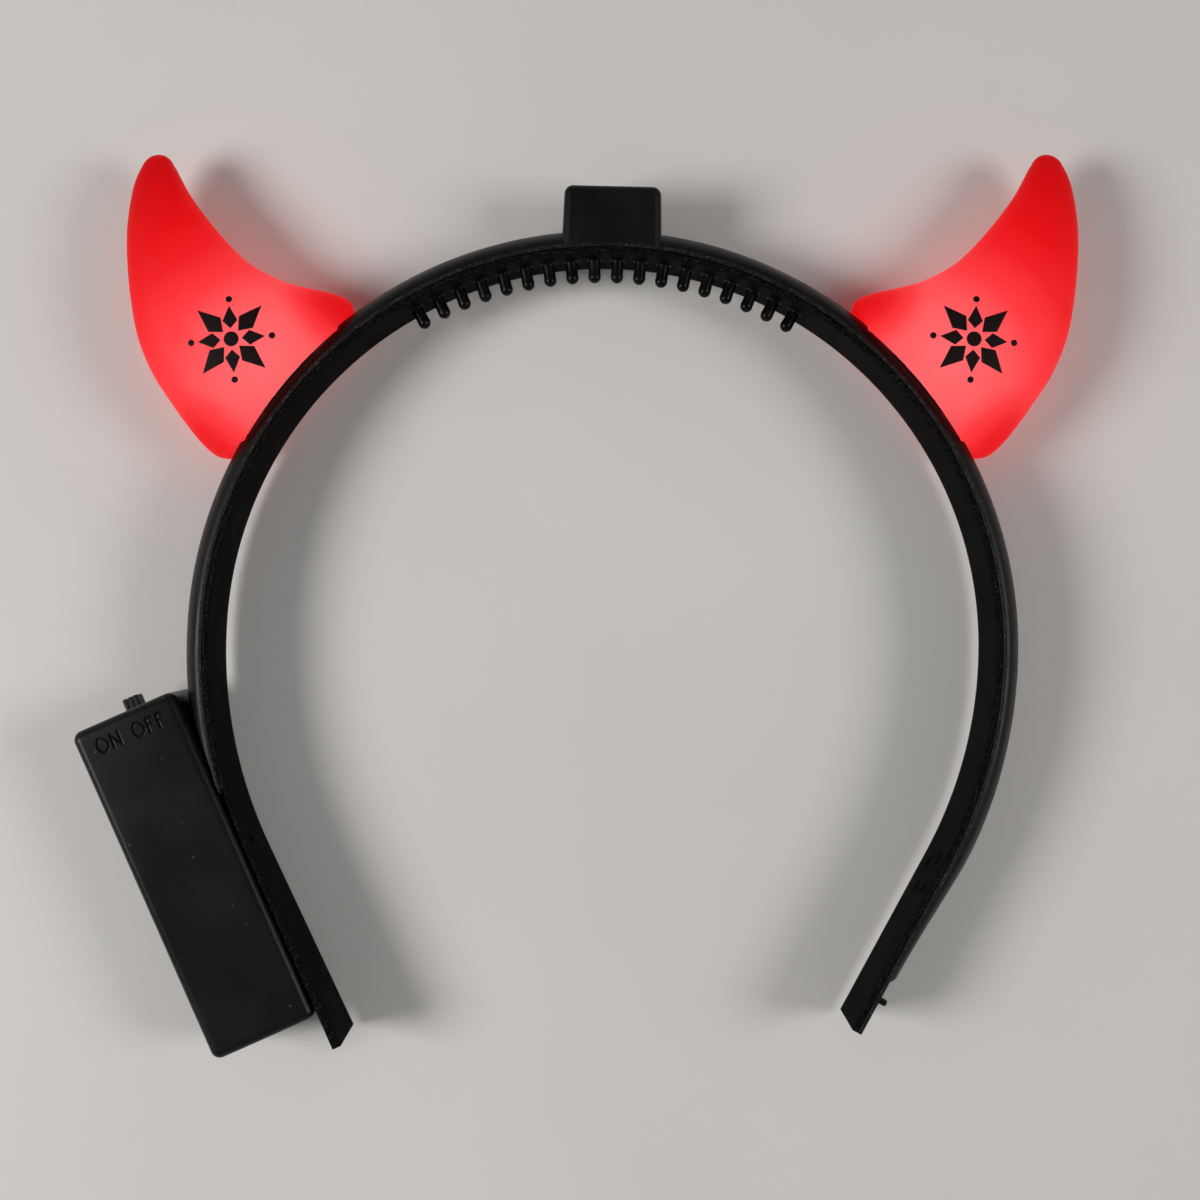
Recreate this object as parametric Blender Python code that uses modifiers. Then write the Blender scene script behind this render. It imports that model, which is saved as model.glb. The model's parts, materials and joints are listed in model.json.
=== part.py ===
# Devil horns headband with lamps in the horns and a battery box on the left leg.
# It lies flat: X runs to the right, Y to the crown, and Z up through the band's width.
# The band is modelled round the centre of its crown arc, and the whole part is then moved
# so that its origin lies on the floor under the middle of its bounding box.
import math

import bmesh
import bpy
import numpy as np
from mathutils import Matrix, Vector

MM = 0.001
PIECE_GAP = 0.3 * MM
CUT_PAST = 1.0 * MM
MERGE_DISTANCE = 0.01 * MM
EDGE_STEPS = 3
CREASE_ANGLE = math.radians(35)
CORNER_ANGLE = math.radians(60)

# Band: a flat inner strip, and a domed outer shell whose two flanges lie over it
BAND_DEPTH = 15.0 * MM
CROWN_RADIUS = 74.1 * MM
STRIP_WALL = 0.8 * MM
STRIP_EDGE = 0.2 * MM
FLANGE_WALL = 0.8 * MM
FLANGE_WIDTH = 1.0 * MM
DOME_RISE = 3.6 * MM
DOME_WALL = 1.2 * MM
DOME_SIDES = 8
DOME_ROUNDNESS = 1.2
CHANNEL_LEAST_RISE = 0.2 * MM
PATH_STEP = 5.0 * MM
PLACE_APART = 1.0 * MM

# Legs: the crown arc turns into a wider arc, and that into a straight end
LEFT_CROWN_TURN = math.radians(85.0)
LEFT_FLARE_RADIUS = 89.1 * MM
LEFT_FLARE_TURN = math.radians(30.1)
LEFT_STRAIGHT = 39.3 * MM
RIGHT_CROWN_TURN = math.radians(90.0)
RIGHT_FLARE_RADIUS = 85.0 * MM
RIGHT_FLARE_TURN = math.radians(28.5)
RIGHT_STRAIGHT = 35.5 * MM

# Ends of the dome: it runs out on the right leg, and meets the battery box on the left
DOME_END_TO_TIP = 12.0 * MM
DOME_END_SLOPE = 1.6 * MM
DOME_TAPER = 30.0 * MM
DOME_END_RISE = 2.2 * MM
SHELL_END_ON_FLARE = 13.0 * MM
STUB_TO_TIP = 7.2 * MM
STUB_SIZE = 1.2 * MM
STUB_REACH = 1.4 * MM

# Comb pegs on the inner strip
PEG_COUNT = 18
PEG_PITCH = math.radians(3.45)
PEG_TURN = math.radians(0.5)
PEG_RADIUS = 1.2 * MM
PEG_LENGTH = 4.3 * MM
PEG_ROOT = 0.35 * MM
PEG_SIDES = 10
PEG_TIP_STEPS = 2

# Blocks on the band: one bare at the crown, and one inside each horn
BLOCK_WIDTH = 18.2 * MM
BLOCK_DEPTH = 14.4 * MM
BLOCK_TOP_RADIUS = 86.9 * MM
BLOCK_WALL = 1.2 * MM
BLOCK_EDGE = 1.6 * MM
LAMP_BLOCK_WIDTH = 15.0 * MM
LAMP_BLOCK_DEPTH = 9.6 * MM
CROWN_BLOCK_TURN = math.radians(-1.3)

# Horns: soft hollow mouldings, each slipped over its block
HORN_TURN = math.radians(50.0)
HORN_RISE = 47.9 * MM
HORN_HALF_WIDTH = 19.7 * MM
HORN_HALF_DEPTH = 10.0 * MM
HORN_WALL = 1.6 * MM
HORN_FLOOR = 1.8 * MM
HORN_SKIRT = 2.5 * MM
HORN_SEAT_REACH = 6.0 * MM
HORN_SQUARENESS = 2.4
HORN_SIDES = 22
HORN_STEPS = 2
# A row for each section, from the band to the tip. Across runs to the crown in shares of the
# half width, up runs away from the band in shares of the rise, and depth is a share of the
# half depth.
HORN_COLUMNS = ("back_across", "back_up", "front_across", "front_up", "depth")
HORN_SECTIONS = [
    (-0.840, -0.130, 0.840, -0.130, 0.92),
    (-0.930, -0.040, 0.930, -0.040, 0.96),
    (-0.995, 0.010, 0.990, 0.005, 0.99),
    (-0.995, 0.084, 0.945, 0.070, 1.00),
    (-0.955, 0.170, 0.835, 0.155, 1.00),
    (-0.898, 0.264, 0.721, 0.259, 0.97),
    (-0.792, 0.406, 0.650, 0.389, 0.92),
    (-0.624, 0.540, 0.655, 0.500, 0.85),
    (-0.406, 0.653, 0.690, 0.605, 0.77),
    (-0.142, 0.766, 0.736, 0.697, 0.66),
    (0.137, 0.866, 0.792, 0.780, 0.54),
    (0.462, 0.956, 0.858, 0.849, 0.40),
    (0.690, 0.998, 0.904, 0.897, 0.28),
    (0.855, 0.992, 0.919, 0.950, 0.12),
]
HORN_HOLLOW_END = 0.80

# Battery box along the left leg
BOX_LENGTH = 67.0 * MM
BOX_WIDTH = 21.0 * MM
BOX_DEPTH = 15.5 * MM
BOX_WALL = 1.6 * MM
BOX_EDGE = 1.8 * MM
BOX_TO_TIP = 6.8 * MM
BOX_STAND_OFF = 0.1 * MM
BOX_TURN = math.radians(1.3)
BOX_PROUD = 0.3 * MM
LID_WALL = 1.6 * MM
WEB_LENGTH = 36.0 * MM
WEB_REACH = 8.0 * MM
WEB_DEPTH = 5.0 * MM
WEB_TOP_DROP = 1.0 * MM

# Slide switch in the box's top end
KNOB_WIDTH = 3.0 * MM
KNOB_DEPTH = 4.0 * MM
KNOB_REACH = 2.4 * MM
KNOB_REST = 9.6 * MM
KNOB_TRAVEL = 2.5 * MM
KNOB_FOOT = 7.0 * MM
KNOB_FOOT_WALL = 1.2 * MM

# Colour, roughness and metallic value of each material
BLACK_PLASTIC = ((0.012, 0.012, 0.012), 0.42, 0.0)
BOX_PLASTIC = ((0.016, 0.016, 0.016), 0.5, 0.0)
KNOB_PLASTIC = ((0.09, 0.085, 0.085), 0.5, 0.0)
RED_RUBBER = ((0.80, 0.015, 0.025), 0.35, 0.0)

FLANGE_IN = STRIP_WALL + PIECE_GAP
FLANGE_OUT = FLANGE_IN + FLANGE_WALL
DOME_OUT = FLANGE_OUT + DOME_RISE
DOME_RADIUS = CROWN_RADIUS + DOME_OUT

LEFT = {
    "side": -1,
    "crown_turn": LEFT_CROWN_TURN,
    "flare_radius": LEFT_FLARE_RADIUS,
    "flare_turn": LEFT_FLARE_TURN,
    "straight": LEFT_STRAIGHT,
}
RIGHT = {
    "side": 1,
    "crown_turn": RIGHT_CROWN_TURN,
    "flare_radius": RIGHT_FLARE_RADIUS,
    "flare_turn": RIGHT_FLARE_TURN,
    "straight": RIGHT_STRAIGHT,
}


def leg_length(leg):
    """Length of the strip's inner face from the crown to the leg's tip."""
    crown = CROWN_RADIUS * leg["crown_turn"]
    flare = leg["flare_radius"] * leg["flare_turn"]
    return crown + flare + leg["straight"]


def station(leg, distance):
    """Point on the strip's inner face and the way out from it, at a distance from the crown."""
    turn = min(distance / CROWN_RADIUS, leg["crown_turn"])
    x = CROWN_RADIUS * math.sin(turn)
    y = CROWN_RADIUS * math.cos(turn)
    left_over = distance - CROWN_RADIUS * turn
    flare = min(left_over / leg["flare_radius"], leg["flare_turn"])
    x += leg["flare_radius"] * (math.sin(turn + flare) - math.sin(turn))
    y += leg["flare_radius"] * (math.cos(turn + flare) - math.cos(turn))
    left_over -= leg["flare_radius"] * flare
    turn += flare
    x += left_over * math.cos(turn)
    y -= left_over * math.sin(turn)
    point = Vector((leg["side"] * x, y, 0.0))
    out = Vector((leg["side"] * math.sin(turn), math.cos(turn), 0.0))
    return point, out


def signed_station(distance):
    """Station with distances to the left of the crown counted as negative."""
    return station(LEFT if distance < 0 else RIGHT, abs(distance))


def distances(start, end, extra=()):
    """Even steps from start to end, with some places of their own added."""
    count = max(2, math.ceil((end - start) / PATH_STEP) + 1)
    even = [d for d in np.linspace(start, end, count)]
    kept = [d for d in even if all(abs(d - e) > PLACE_APART for e in extra)]
    return sorted(set(kept) | {even[0], even[-1]} | set(extra))


def new_material(name, finish):
    colour, roughness, metallic = finish
    material = bpy.data.materials.new(name)
    material.use_nodes = True
    shader = material.node_tree.nodes["Principled BSDF"]
    shader.inputs["Base Color"].default_value = (*colour, 1.0)
    shader.inputs["Roughness"].default_value = roughness
    shader.inputs["Metallic"].default_value = metallic
    material.diffuse_color = (*colour, 1.0)
    return material


def add_object(name, mesh, parent, collection, material=None):
    piece = bpy.data.objects.new(name, mesh)
    collection.objects.link(piece)
    piece.parent = parent
    if material:
        mesh.materials.append(material)
    return piece


def add_cutter(name, mesh, like, collection):
    """A cutter placed as the object that it cuts."""
    cutter = add_object(name, mesh, like.parent, collection)
    cutter.location = like.location
    cutter.rotation_euler = like.rotation_euler
    cutter.display_type = "WIRE"
    cutter.hide_render = True
    return cutter


def join(piece, cutter, operation):
    modifier = piece.modifiers.new(cutter.name, "BOOLEAN")
    modifier.operation = operation
    modifier.solver = "EXACT"
    modifier.object = cutter


def cuboid(name, low, high, bevelled=None, width=0.0):
    """A box between two corners, with the edges that bevelled picks rounded."""
    low, high = Vector(low), Vector(high)
    shape = bmesh.new()
    bmesh.ops.create_cube(shape, size=1.0)
    bmesh.ops.scale(shape, vec=high - low, verts=shape.verts)
    bmesh.ops.translate(shape, vec=(low + high) / 2, verts=shape.verts)
    if bevelled:
        edges = [e for e in shape.edges if bevelled((e.verts[0].co + e.verts[1].co) / 2)]
        bmesh.ops.bevel(shape, geom=edges, offset=width, segments=EDGE_STEPS, profile=0.5,
                        affect="EDGES", clamp_overlap=True)
    mesh = bpy.data.meshes.new(name)
    shape.to_mesh(mesh)
    shape.free()
    return mesh


def loft(name, rings):
    """A closed body through rings of points, with a flat cap at each end."""
    shape = bmesh.new()
    loops = [[shape.verts.new(point) for point in ring] for ring in rings]
    for ring, following in zip(loops, loops[1:]):
        for i, corner in enumerate(ring):
            j = (i + 1) % len(ring)
            shape.faces.new((corner, ring[j], following[j], following[i]))
    shape.faces.new(loops[0])
    shape.faces.new(reversed(loops[-1]))
    bmesh.ops.recalc_face_normals(shape, faces=shape.faces)
    mesh = bpy.data.meshes.new(name)
    shape.to_mesh(mesh)
    shape.free()
    return mesh


def along_band(places, section):
    """Rings of a section carried along the band: section gives (out, up) pairs at a place."""
    rings = []
    for place in places:
        point, out = signed_station(place)
        rings.append([point + out * u + Vector((0.0, 0.0, w)) for u, w in section(place)])
    return rings


def dome_rise(place):
    """Height of the dome over its flanges, which falls away along the right leg."""
    to_end = leg_length(RIGHT) - DOME_END_TO_TIP - place
    if to_end < 0.0:
        return DOME_END_RISE * max(0.0, 1.0 + to_end / DOME_END_SLOPE)
    share = min(1.0, to_end / DOME_TAPER)
    smooth = share * share * (3.0 - 2.0 * share)
    return DOME_END_RISE + (DOME_RISE - DOME_END_RISE) * smooth


def arch(base, rise, half_width):
    """Round arch from one side to the other, as (out, up) pairs."""
    pairs = []
    for angle in np.linspace(-math.pi / 2, math.pi / 2, DOME_SIDES + 1):
        height = max(0.0, math.cos(angle)) ** DOME_ROUNDNESS
        pairs.append((base + rise * height, half_width * math.sin(angle)))
    return pairs


def shell_section(place):
    half = BAND_DEPTH / 2
    dome = arch(FLANGE_OUT, dome_rise(place), half - FLANGE_WIDTH)
    return [(FLANGE_IN, -half), (FLANGE_OUT, -half), *dome, (FLANGE_OUT, half), (FLANGE_IN, half)]


def channel_section(place):
    half = BAND_DEPTH / 2 - FLANGE_WIDTH - DOME_WALL
    rise = max(CHANNEL_LEAST_RISE, FLANGE_WALL + dome_rise(place) - DOME_WALL)
    return [(FLANGE_IN - PIECE_GAP, -half), *arch(FLANGE_IN, rise, half),
            (FLANGE_IN - PIECE_GAP, half)]


def build_shell(group, parts, cutters, material):
    """Outer band: domed shell, open to the strip, with three hollow blocks on it."""
    tip = leg_length(RIGHT)
    dome_end = tip - DOME_END_TO_TIP
    start = LEFT_STRAIGHT + SHELL_END_ON_FLARE - leg_length(LEFT)
    places = distances(start, tip, (dome_end, dome_end + DOME_END_SLOPE))
    shell = add_object("outer_band", loft("outer_band", along_band(places, shell_section)),
                       group, parts, material)
    hollow_places = distances(start - BLOCK_WIDTH, dome_end - DOME_WALL)
    channel = loft("channel", along_band(hollow_places, channel_section))
    blocks = [
        ("crown_block", CROWN_BLOCK_TURN, BLOCK_WIDTH, BLOCK_DEPTH),
        ("left_block", HORN_TURN, LAMP_BLOCK_WIDTH, LAMP_BLOCK_DEPTH),
        ("right_block", -HORN_TURN, LAMP_BLOCK_WIDTH, LAMP_BLOCK_DEPTH),
    ]
    foot = CROWN_RADIUS + FLANGE_IN + PIECE_GAP / 2
    cores = []
    for name, turn, width, depth in blocks:
        half_width = width / 2
        half_depth = depth / 2
        body = cuboid(name, (-half_width, foot, -half_depth),
                      (half_width, BLOCK_TOP_RADIUS, half_depth),
                      lambda middle: middle.y > foot + CUT_PAST, BLOCK_EDGE)
        block = add_cutter(name, body, shell, cutters)
        block.rotation_euler.z = turn
        join(shell, block, "UNION")
        core = cuboid(name + "_core",
                      (BLOCK_WALL - half_width, foot - 2 * PIECE_GAP, BLOCK_WALL - half_depth),
                      (half_width - BLOCK_WALL, BLOCK_TOP_RADIUS - BLOCK_WALL,
                       half_depth - BLOCK_WALL))
        cores.append((name + "_core", core, turn))
    stub_point, out = station(RIGHT, tip - STUB_TO_TIP)
    half = STUB_SIZE / 2
    stub = add_cutter("stub", cuboid("stub", (-half, FLANGE_IN + FLANGE_WALL / 2, -half),
                                     (half, FLANGE_OUT + STUB_REACH, half)), shell, cutters)
    stub.location = stub_point
    stub.rotation_euler.z = -math.atan2(out.x, out.y)
    join(shell, stub, "UNION")
    join(shell, add_cutter("channel", channel, shell, cutters), "DIFFERENCE")
    for name, core, turn in cores:
        cutter = add_cutter(name, core, shell, cutters)
        cutter.rotation_euler.z = turn
        join(shell, cutter, "DIFFERENCE")
    return shell


def peg_mesh():
    """A round peg with a domed tip and a flared root, turned about Z."""
    tip = [(PEG_RADIUS * math.sin(turn), PEG_LENGTH - PEG_RADIUS * (1.0 - math.cos(turn)))
           for turn in np.linspace(0.0, math.pi / 2, PEG_TIP_STEPS + 1)]
    root = [(PEG_RADIUS, 2 * PEG_ROOT), (PEG_RADIUS + PEG_ROOT, 0.0),
            (PEG_RADIUS + PEG_ROOT, -STRIP_WALL / 2), (0.0, -STRIP_WALL / 2)]
    outline = tip + root
    mesh = bpy.data.meshes.new("peg")
    mesh.from_pydata([(x, 0.0, z) for x, z in outline],
                     [(i, i + 1) for i in range(len(outline) - 1)], [])
    turned = bpy.data.objects.new("peg", mesh)
    bpy.context.scene.collection.objects.link(turned)
    screw = turned.modifiers.new("turn", "SCREW")
    screw.steps = PEG_SIDES
    screw.render_steps = PEG_SIDES
    screw.use_merge_vertices = True
    screw.merge_threshold = MERGE_DISTANCE
    bpy.context.view_layer.update()
    solid = bpy.data.meshes.new_from_object(
        turned.evaluated_get(bpy.context.evaluated_depsgraph_get()))
    bpy.data.objects.remove(turned)
    return solid


def build_strip(group, parts, cutters, material):
    """Inner band: a flat strip with a row of comb pegs on its inside."""
    ribbon = bmesh.new()
    half = BAND_DEPTH / 2
    places = distances(-leg_length(LEFT), leg_length(RIGHT))
    lower = [ribbon.verts.new(signed_station(place)[0] - Vector((0, 0, half))) for place in places]
    edges = [ribbon.edges.new(pair) for pair in zip(lower, lower[1:])]
    raised = bmesh.ops.extrude_edge_only(ribbon, edges=edges)["geom"]
    bmesh.ops.translate(ribbon, vec=(0, 0, BAND_DEPTH),
                        verts=[v for v in raised if isinstance(v, bmesh.types.BMVert)])
    for face in ribbon.faces:
        if face.normal.dot(face.calc_center_median()) < 0:
            face.normal_flip()
    mesh = bpy.data.meshes.new("inner_band")
    ribbon.to_mesh(mesh)
    ribbon.free()
    strip = add_object("inner_band", mesh, group, parts, material)
    wall = strip.modifiers.new("wall", "SOLIDIFY")
    wall.thickness = STRIP_WALL
    wall.offset = 1.0
    wall.use_even_offset = True
    edge = strip.modifiers.new("edge", "BEVEL")
    edge.width = STRIP_EDGE
    edge.segments = 1
    edge.limit_method = "ANGLE"
    edge.angle_limit = CORNER_ANGLE

    peg = peg_mesh()
    pegs = bmesh.new()
    for i in range(PEG_COUNT):
        angle = (i - (PEG_COUNT - 1) / 2) * PEG_PITCH + PEG_TURN
        count = len(pegs.verts)
        pegs.from_mesh(peg)
        place = Matrix.Rotation(-angle, 4, "Z") @ Matrix.Translation((0, CROWN_RADIUS, 0))
        place = place @ Matrix.Rotation(math.pi / 2, 4, "X")
        pegs.verts.ensure_lookup_table()
        bmesh.ops.transform(pegs, matrix=place, verts=pegs.verts[count:])
    row = bpy.data.meshes.new("pegs")
    pegs.to_mesh(row)
    pegs.free()
    join(strip, add_cutter("pegs", row, strip, cutters), "UNION")
    return strip


def smooth_rows(rows, steps):
    """Rows with others between them on a smooth curve through all."""
    rows = np.array(rows)
    before = np.vstack([2 * rows[0] - rows[1], rows, 2 * rows[-1] - rows[-2]])
    result = []
    for i in range(len(rows) - 1):
        a, b, c, d = before[i:i + 4]
        for step in range(steps):
            t = step / steps
            result.append(0.5 * (2 * b + (c - a) * t + (2 * a - 5 * b + 4 * c - d) * t ** 2
                                 + (3 * b - a - 3 * c + d) * t ** 3))
    return result + [rows[-1]]


def horn_rings(side, wall, low, high):
    """Rings of a horn, each an oval across its two edges, drawn in by the wall."""
    rings = []
    for row in smooth_rows(HORN_SECTIONS, HORN_STEPS):
        cell = dict(zip(HORN_COLUMNS, row))
        back = Vector((cell["back_across"] * HORN_HALF_WIDTH, cell["back_up"] * HORN_RISE))
        front = Vector((cell["front_across"] * HORN_HALF_WIDTH, cell["front_up"] * HORN_RISE))
        middle = (back + front) / 2
        reach = (front - back) / 2
        if not low <= middle.y <= high:
            continue
        reach = reach.normalized() * (reach.length - wall)
        deep = cell["depth"] * HORN_HALF_DEPTH - wall
        ring = []
        for i in range(HORN_SIDES):
            angle = 2 * math.pi * i / HORN_SIDES
            across = math.copysign(abs(math.cos(angle)) ** (2 / HORN_SQUARENESS), math.cos(angle))
            over = math.copysign(abs(math.sin(angle)) ** (2 / HORN_SQUARENESS), math.sin(angle))
            point = middle + reach * across
            ring.append(Vector((-side * point.x, DOME_RADIUS + point.y, deep * over)))
        rings.append(ring)
    return rings


def seat_section(place):
    """Room that a horn leaves for the band: the dome and its flanges, and a flat beyond them."""
    half = BAND_DEPTH / 2 - FLANGE_WIDTH + PIECE_GAP
    skirt = DOME_OUT - HORN_SKIRT
    wide = 2 * HORN_HALF_DEPTH
    return [(-wide, -wide), (skirt, -wide), *arch(skirt, HORN_SKIRT + PIECE_GAP, half),
            (skirt, wide), (-wide, wide)]


def build_horn(name, side, group, parts, cutters, material, shell):
    """A horn that curves to the crown, hollow, with a slot in its floor for the block."""
    horn = add_object(name, loft(name, horn_rings(side, 0.0, -HORN_RISE, HORN_RISE)),
                      group, parts, material)
    horn.rotation_euler.z = -side * HORN_TURN
    middle = side * CROWN_RADIUS * HORN_TURN
    reach = HORN_HALF_WIDTH + HORN_SEAT_REACH
    seat = loft(name + "_seat", along_band(distances(middle - reach, middle + reach), seat_section))
    join(horn, add_cutter(name + "_seat", seat, shell, cutters), "DIFFERENCE")
    floor = PIECE_GAP + HORN_FLOOR
    rings = horn_rings(side, HORN_WALL, floor, HORN_HOLLOW_END * HORN_RISE)
    base = [Vector((p.x, DOME_RADIUS + floor, p.z)) for p in rings[0]]
    hollow = loft(name + "_hollow", [base] + rings)
    join(horn, add_cutter(name + "_hollow", hollow, horn, cutters), "DIFFERENCE")
    half_width = LAMP_BLOCK_WIDTH / 2 + PIECE_GAP
    half_depth = LAMP_BLOCK_DEPTH / 2 + PIECE_GAP
    slot = cuboid(name + "_slot", (-half_width, CROWN_RADIUS, -half_depth),
                  (half_width, BLOCK_TOP_RADIUS + PIECE_GAP, half_depth))
    join(horn, add_cutter(name + "_slot", slot, horn, cutters), "DIFFERENCE")
    return horn


def build_box(group, parts, cutters, materials, shell):
    """Battery box with its lid, its switch knob and the web that joins it to the band."""
    tip, out = station(LEFT, leg_length(LEFT))
    lean = LEFT_CROWN_TURN + LEFT_FLARE_TURN - math.pi / 2 - BOX_TURN
    clear_of_strip = LEFT_STRAIGHT * math.tan(BOX_TURN) + PIECE_GAP + BOX_STAND_OFF
    place = tip + out * (STRIP_WALL + clear_of_strip)
    top = BOX_TO_TIP + BOX_LENGTH
    near = BAND_DEPTH / 2 + BOX_PROUD
    far = near - BOX_DEPTH
    middle = (near + far) / 2

    def placed(name, mesh, material):
        piece = add_object(name, mesh, group, parts, material)
        piece.location = place
        piece.rotation_euler.z = lean
        return piece

    body = cuboid("battery_box", (-BOX_WIDTH, BOX_TO_TIP, far), (0, top, near),
                  lambda m: m.z > far + CUT_PAST, BOX_EDGE)
    box = placed("battery_box", body, materials["box"])
    web = cuboid("web", (-BOX_WALL / 2, top - WEB_TOP_DROP - WEB_LENGTH, middle - WEB_DEPTH / 2),
                 (WEB_REACH, top - WEB_TOP_DROP, middle + WEB_DEPTH / 2))
    web_piece = add_cutter("web", web, box, cutters)
    band_room = [(-2 * WEB_REACH, -WEB_DEPTH), (DOME_OUT + PIECE_GAP, -WEB_DEPTH),
                 (DOME_OUT + PIECE_GAP, WEB_DEPTH), (-2 * WEB_REACH, WEB_DEPTH)]
    room_places = distances(-leg_length(LEFT), -CROWN_RADIUS)
    room = loft("band_room", along_band(room_places, lambda place: band_room))
    join(web_piece, add_cutter("band_room", room, shell, cutters), "DIFFERENCE")
    join(box, web_piece, "UNION")
    hollow = cuboid("hollow", (BOX_WALL - BOX_WIDTH, BOX_TO_TIP + BOX_WALL, far - CUT_PAST),
                    (-BOX_WALL, top - BOX_WALL, near - BOX_WALL))
    join(box, add_cutter("hollow", hollow, box, cutters), "DIFFERENCE")
    slot_half = KNOB_DEPTH / 2 + PIECE_GAP
    slot = cuboid("slot",
                  (-KNOB_REST - KNOB_TRAVEL - KNOB_WIDTH / 2 - PIECE_GAP, top - 2 * BOX_WALL,
                   middle - slot_half),
                  (-KNOB_REST + KNOB_WIDTH / 2 + PIECE_GAP, top + CUT_PAST, middle + slot_half))
    join(box, add_cutter("slot", slot, box, cutters), "DIFFERENCE")

    inset = BOX_WALL + PIECE_GAP
    lid = cuboid("battery_lid", (inset - BOX_WIDTH, BOX_TO_TIP + inset, far),
                 (-inset, top - inset, far + LID_WALL))
    placed("battery_lid", lid, materials["box"])

    foot_top = top - BOX_WALL - PIECE_GAP
    foot = cuboid("switch_knob", (-KNOB_FOOT / 2, foot_top - KNOB_FOOT_WALL, -KNOB_FOOT / 2),
                  (KNOB_FOOT / 2, foot_top, KNOB_FOOT / 2))
    knob = placed("switch_knob", foot, materials["knob"])
    knob.location = place + Matrix.Rotation(lean, 3, "Z") @ Vector((-KNOB_REST, 0, middle))
    cap = cuboid("knob_cap", (-KNOB_WIDTH / 2, foot_top - KNOB_FOOT_WALL / 2, -KNOB_DEPTH / 2),
                 (KNOB_WIDTH / 2, top + KNOB_REACH, KNOB_DEPTH / 2),
                 lambda m: m.y > top + KNOB_REACH / 2, PIECE_GAP)
    join(knob, add_cutter("knob_cap", cap, knob, cutters), "UNION")

    room = cuboid("box_room", (-BOX_WIDTH - CUT_PAST, BOX_TO_TIP - PIECE_GAP, far - CUT_PAST),
                  (PIECE_GAP, top + PIECE_GAP, near + CUT_PAST))
    join(shell, add_cutter("box_room", room, box, cutters), "DIFFERENCE")


def stand_on_floor(group, parts):
    """Move the whole part so that its origin is under the middle of its bounding box."""
    bpy.context.view_layer.update()
    graph = bpy.context.evaluated_depsgraph_get()
    corners = []
    for piece in parts.objects:
        ready = piece.evaluated_get(graph)
        corners += [ready.matrix_world @ vertex.co for vertex in ready.data.vertices]
    points = np.array(corners)
    low, high = points.min(axis=0), points.max(axis=0)
    group.location = (-(low[0] + high[0]) / 2, -(low[1] + high[1]) / 2, -low[2])
    bpy.context.view_layer.update()


def build():
    for old in list(bpy.data.objects):
        bpy.data.objects.remove(old)
    parts = bpy.data.collections.new("devil_horns_headband")
    cutters = bpy.data.collections.new("cutters")
    bpy.context.scene.collection.children.link(parts)
    bpy.context.scene.collection.children.link(cutters)
    group = bpy.data.objects.new("headband", None)
    bpy.context.scene.collection.objects.link(group)

    black = new_material("black_band_plastic", BLACK_PLASTIC)
    red = new_material("red_soft_plastic", RED_RUBBER)
    case = {
        "box": new_material("black_box_plastic", BOX_PLASTIC),
        "knob": new_material("grey_knob_plastic", KNOB_PLASTIC),
    }
    shell = build_shell(group, parts, cutters, black)
    build_strip(group, parts, cutters, black)
    build_horn("horn_left", -1, group, parts, cutters, red, shell)
    build_horn("horn_right", 1, group, parts, cutters, red, shell)
    build_box(group, parts, cutters, case, shell)
    stand_on_floor(group, parts)
    for piece in parts.objects:
        piece.data.shade_smooth()
        piece.data.set_sharp_from_angle(angle=CREASE_ANGLE)


build()
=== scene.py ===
# Devil horns headband with lit horns: fine surfaces, finishes, floor, light and camera.
import json

import bpy
import numpy as np
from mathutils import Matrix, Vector


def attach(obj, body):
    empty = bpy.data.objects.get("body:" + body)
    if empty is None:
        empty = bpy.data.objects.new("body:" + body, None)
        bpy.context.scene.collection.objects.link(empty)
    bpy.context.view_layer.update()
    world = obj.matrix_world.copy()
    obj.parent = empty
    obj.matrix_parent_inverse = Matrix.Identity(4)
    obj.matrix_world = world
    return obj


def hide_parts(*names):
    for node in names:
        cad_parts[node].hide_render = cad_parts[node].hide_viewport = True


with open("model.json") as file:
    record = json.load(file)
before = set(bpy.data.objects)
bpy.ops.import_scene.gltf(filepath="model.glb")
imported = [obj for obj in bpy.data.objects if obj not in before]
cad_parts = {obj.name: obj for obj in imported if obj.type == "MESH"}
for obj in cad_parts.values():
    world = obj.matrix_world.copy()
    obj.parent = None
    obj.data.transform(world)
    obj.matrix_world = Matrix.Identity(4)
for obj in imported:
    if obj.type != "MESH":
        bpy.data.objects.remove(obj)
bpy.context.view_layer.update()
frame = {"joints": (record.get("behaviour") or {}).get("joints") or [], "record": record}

mm = 0.001
weldDistance = 1e-7
sharpFrom = 32    # degrees

# The band's own axes: millimetres from the centre of the crown arc, Z from the middle of its width
mounts = {mount["name"]: mount for mount in frame["record"]["mounts"]}
crownTop = mounts["crown_block_top"]
boxFront = mounts["battery_box_front"]
crownBlock = {"topRadius": 86.9, "width": 18.2, "depth": 14.6, "edge": 1.6, "turn": -1.3,
              "taper": 0.3}
arcCentre = np.array(crownTop["pos_m"]) - np.array(crownTop["axis"]) * crownBlock["topRadius"] * mm


def linear(hexColour):
    # sRGB to linear light: dark channels are divided by 12.92, the others follow a 2.4 power
    srgb = np.array([int(hexColour[i:i + 2], 16) for i in (1, 3, 5)]) / 255
    light = np.where(srgb <= 0.04045, srgb / 12.92, ((srgb + 0.055) / 1.055) ** 2.4)
    return (*light.tolist(), 1.0)


def smooth(share):
    # An S-curve from 0 to 1: three times the square less twice the cube
    share = np.clip(share, 0.0, 1.0)
    return share * share * (3.0 - 2.0 * share)


def turned(points, degrees):
    # Points turned about Z
    a = np.radians(degrees)
    turn = np.array([[np.cos(a), -np.sin(a), 0.0], [np.sin(a), np.cos(a), 0.0], [0.0, 0.0, 1.0]])
    return points @ turn.T


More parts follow.
